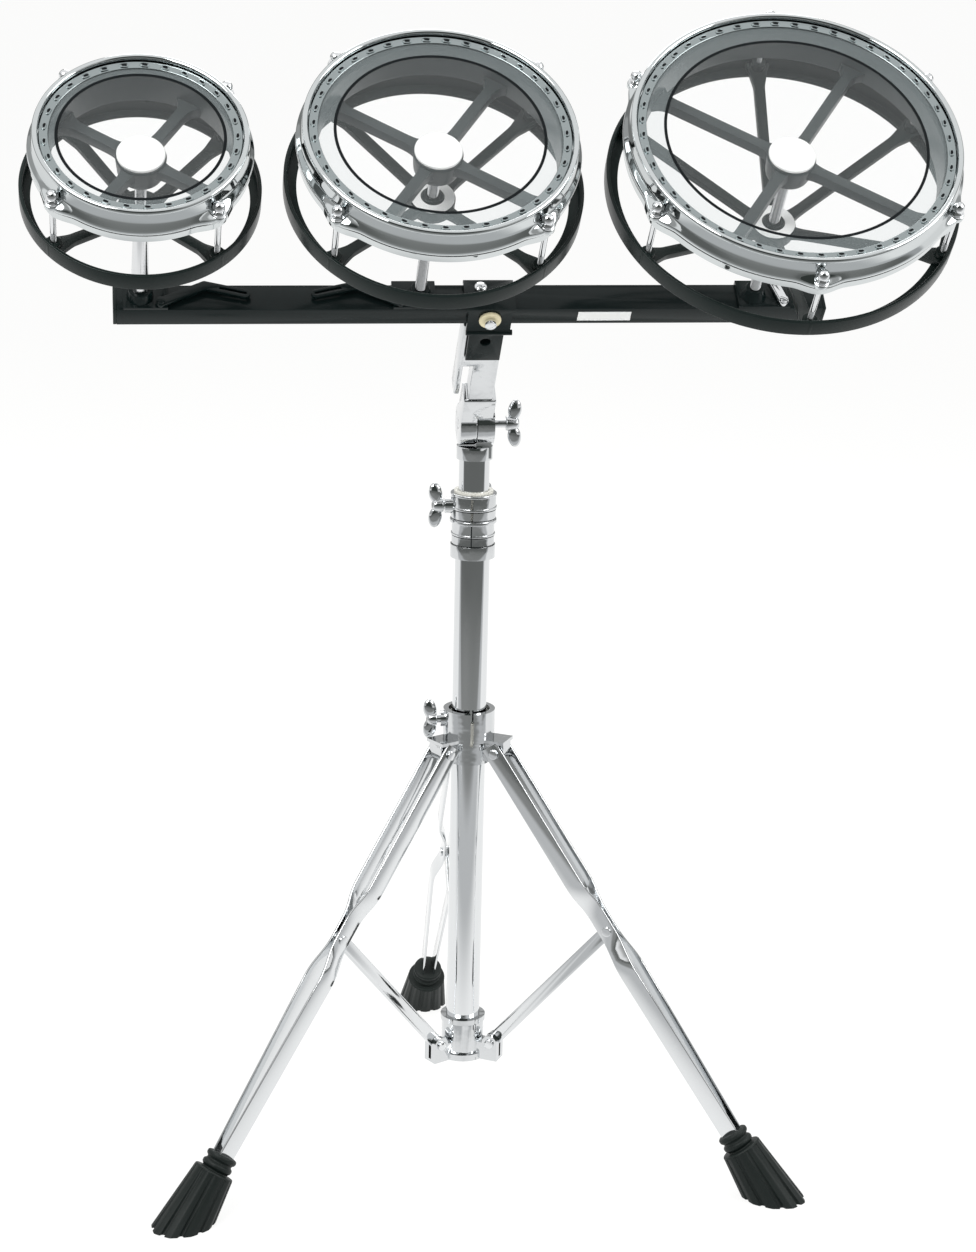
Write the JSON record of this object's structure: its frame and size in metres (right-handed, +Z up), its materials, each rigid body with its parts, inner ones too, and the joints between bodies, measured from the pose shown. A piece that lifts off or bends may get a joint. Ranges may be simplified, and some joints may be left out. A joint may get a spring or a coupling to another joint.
{
  "type": "rototom",
  "caption": "Set of shell-less tunable frame drums of rising size on a tilting rail, each tuned by turning it on its threaded spindle, on a folding chromed tripod stand.",
  "frame": {"origin": "centre of the bounding box at the floor", "axes": "+X along the rail from the small drum to the large drum, +Y away from the player towards the back leg, +Z up"},
  "size_m": [0.7672, 0.6931, 1.0805],
  "materials": {
    "chrome_tube": "bright chrome plate",
    "chrome_casting": "chrome plated casting",
    "chrome_steel": "chrome plated pressed steel",
    "spindle_steel": "plated screw thread",
    "hoop_chrome": "bright chrome plate",
    "hoop_aluminium": "plain aluminium",
    "nylon": "natural nylon",
    "washer": "pale yellow plastic",
    "rubber": "black moulded rubber",
    "black_paint": "black paint",
    "black_plastic": "black plastic",
    "black_casting": "black painted die casting",
    "grey_casting": "dark grey painted die casting",
    "white_cap": "white plastic",
    "clear_film": "clear polyester film"
  },
  "bodies": {
    "stand": {"base_tube": "chrome_tube", "bottom_casting": "chrome_casting", "casting_pins": "chrome_steel", "height_clamp": "chrome_casting", "clamp_bush": "nylon"},
    "clamp_screw": {"clamp_wing_screw": "chrome_steel"},
    "rear_screw": {"rear_wing_screw": "chrome_steel"},
    "collar": {"leg_collar": "chrome_casting", "collar_bush": "nylon", "collar_pins": "chrome_steel"},
    "collar_screw": {"collar_wing_screw": "chrome_steel"},
    "mast": {"upper_tube": "chrome_tube", "tilter_base": "chrome_casting"},
    "tilter_bolt": {"tilter_wing_bolt": "chrome_steel"},
    "head": {"tilter_head": "chrome_casting", "rail_receiver": "black_paint", "rail_saddle": "black_paint", "saddle_bolts": "chrome_steel", "saddle_washer": "washer", "rail": "black_paint", "rail_end_caps": "black_plastic"},
    "back_brace": {"brace_back": "chrome_steel"},
    "back_leg": {"leg_back": "chrome_steel", "foot_back": "rubber"},
    "left_brace": {"brace_left": "chrome_steel"},
    "left_leg": {"leg_left": "chrome_steel", "foot_left": "rubber"},
    "right_brace": {"brace_right": "chrome_steel"},
    "right_leg": {"leg_right": "chrome_steel", "foot_right": "rubber"},
    "small_clamp": {"small_bracket": "black_paint", "small_spindle": "spindle_steel"},
    "small_clamp_lever": {"small_lever": "black_paint"},
    "small_drum": {"small_upper_frame": "grey_casting", "small_hub_cap": "white_cap", "small_drumhead": "clear_film", "small_lower_frame": "black_casting", "small_flesh_hoop": "hoop_aluminium", "small_counterhoop": "hoop_chrome", "small_tension_rods": "chrome_steel"},
    "middle_clamp": {"middle_bracket": "black_paint", "middle_spindle": "spindle_steel"},
    "middle_clamp_lever": {"middle_lever": "black_paint"},
    "middle_drum": {"middle_upper_frame": "grey_casting", "middle_hub_cap": "white_cap", "middle_drumhead": "clear_film", "middle_lower_frame": "black_casting", "middle_flesh_hoop": "hoop_aluminium", "middle_counterhoop": "hoop_chrome", "middle_tension_rods": "chrome_steel"},
    "large_clamp": {"large_bracket": "black_paint", "large_spindle": "spindle_steel"},
    "large_clamp_lever": {"large_lever": "chrome_steel"},
    "large_drum": {"large_upper_frame": "grey_casting", "large_hub_cap": "white_cap", "large_drumhead": "clear_film", "large_lower_frame": "black_casting", "large_flesh_hoop": "hoop_aluminium", "large_counterhoop": "hoop_chrome", "large_tension_rods": "chrome_steel"}
  },
  "joints": [
    {"name": "back_brace_fold", "type": "hinge", "parent": "stand", "child": "back_brace", "pos_m": [0.0136, 0.0349, 0.103], "axis": [1, 0, 0], "range_deg": [0, 37.05]},
    {"name": "left_brace_fold", "type": "hinge", "parent": "stand", "child": "left_brace", "pos_m": [-0.01325, -0.0116, 0.103], "axis": [-0.5, 0.866, 0], "range_deg": [0, 37.05]},
    {"name": "right_brace_fold", "type": "hinge", "parent": "stand", "child": "right_brace", "pos_m": [0.04045, -0.0116, 0.103], "axis": [-0.5, -0.866, 0], "range_deg": [0, 37.05]},
    {"name": "back_leg_fold", "type": "hinge", "parent": "back_brace", "child": "back_leg", "pos_m": [0.0136, 0.14797, 0.23657], "axis": [1, 0, 0], "range_deg": [-69.33, 0]},
    {"name": "left_leg_fold", "type": "hinge", "parent": "left_brace", "child": "left_leg", "pos_m": [-0.11117, -0.06814, 0.23657], "axis": [-0.5, 0.866, 0], "range_deg": [-69.33, 0]},
    {"name": "right_leg_fold", "type": "hinge", "parent": "right_brace", "child": "right_leg", "pos_m": [0.13837, -0.06814, 0.23657], "axis": [-0.5, -0.866, 0], "range_deg": [-69.33, 0]},
    {"name": "collar_fold", "type": "hinge", "parent": "back_leg", "child": "collar", "pos_m": [0.0136, 0.0339, 0.39614], "axis": [1, 0, 0], "range_deg": [0, 32.28]},
    {"name": "collar_screw_turn", "type": "hinge", "parent": "collar", "child": "collar_screw", "pos_m": [-0.0104, 0.0039, 0.42413], "axis": [1, 0, 0], "range_deg": [-180, 180]},
    {"name": "clamp_screw_turn", "type": "hinge", "parent": "stand", "child": "clamp_screw", "pos_m": [-0.0069, 0.0039, 0.628], "axis": [1, 0, 0], "range_deg": [-180, 180]},
    {"name": "rear_screw_turn", "type": "hinge", "parent": "stand", "child": "rear_screw", "pos_m": [0.02385, 0.02165, 0.62], "axis": [0.5, 0.866, 0], "range_deg": [-180, 180]},
    {"name": "mast_slide", "type": "slide", "parent": "stand", "child": "mast", "axis": [0, 0, 1], "range_m": [-0.026, 0.25]},
    {"name": "tilter_bolt_turn", "type": "hinge", "parent": "mast", "child": "tilter_bolt", "pos_m": [0.0136, 0.0039, 0.7033], "axis": [1, 0, 0], "range_deg": [-180, 180]},
    {"name": "head_tilt", "type": "hinge", "parent": "mast", "child": "head", "pos_m": [0.0136, 0.0039, 0.7033], "axis": [1, 0, 0], "range_deg": [-45, 30]},
    {"name": "small_rail_slide", "type": "slide", "parent": "head", "child": "small_clamp", "axis": [1, 0, 0], "range_m": [-0.005, 0.007]},
    {"name": "small_lever_turn", "type": "hinge", "parent": "small_clamp", "child": "small_clamp_lever", "pos_m": [-0.2704, -0.11741, 0.83387], "axis": [0, -0.6428, 0.766], "range_deg": [-40, 40]},
    {"name": "small_drum_turn", "type": "hinge", "parent": "small_clamp", "child": "small_drum", "pos_m": [-0.2874, -0.23329, 0.98597], "axis": [0, -0.6428, 0.766], "range_deg": [-180, 180]},
    {"name": "middle_rail_slide", "type": "slide", "parent": "head", "child": "middle_clamp", "axis": [1, 0, 0], "range_m": [-0.007, 0.007]},
    {"name": "middle_lever_turn", "type": "hinge", "parent": "middle_clamp", "child": "middle_clamp_lever", "pos_m": [-0.0694, -0.11741, 0.83387], "axis": [0, -0.6428, 0.766], "range_deg": [-40, 40]},
    {"name": "middle_drum_turn", "type": "hinge", "parent": "middle_clamp", "child": "middle_drum", "pos_m": [-0.0524, -0.23682, 0.99018], "axis": [0, -0.6428, 0.766], "range_deg": [-180, 180]},
    {"name": "large_rail_slide", "type": "slide", "parent": "head", "child": "large_clamp", "axis": [1, 0, 0], "range_m": [-0.007, 0.007]},
    {"name": "large_lever_turn", "type": "hinge", "parent": "large_clamp", "child": "large_clamp_lever", "pos_m": [0.2616, -0.11741, 0.83387], "axis": [0, -0.6428, 0.766], "range_deg": [-60, 8]},
    {"name": "large_drum_turn", "type": "hinge", "parent": "large_clamp", "child": "large_drum", "pos_m": [0.2366, -0.23522, 0.98827], "axis": [0, -0.6428, 0.766], "range_deg": [-180, 180]}
  ],
  "couplings": [
    {"joint": "back_leg_fold", "follows": "back_brace_fold", "ratio": -1.8712},
    {"joint": "left_leg_fold", "follows": "back_brace_fold", "ratio": -1.8712},
    {"joint": "left_brace_fold", "follows": "back_brace_fold", "ratio": 1},
    {"joint": "right_leg_fold", "follows": "back_brace_fold", "ratio": -1.8712},
    {"joint": "right_brace_fold", "follows": "back_brace_fold", "ratio": 1},
    {"joint": "collar_fold", "follows": "back_brace_fold", "ratio": 0.8712}
  ]
}
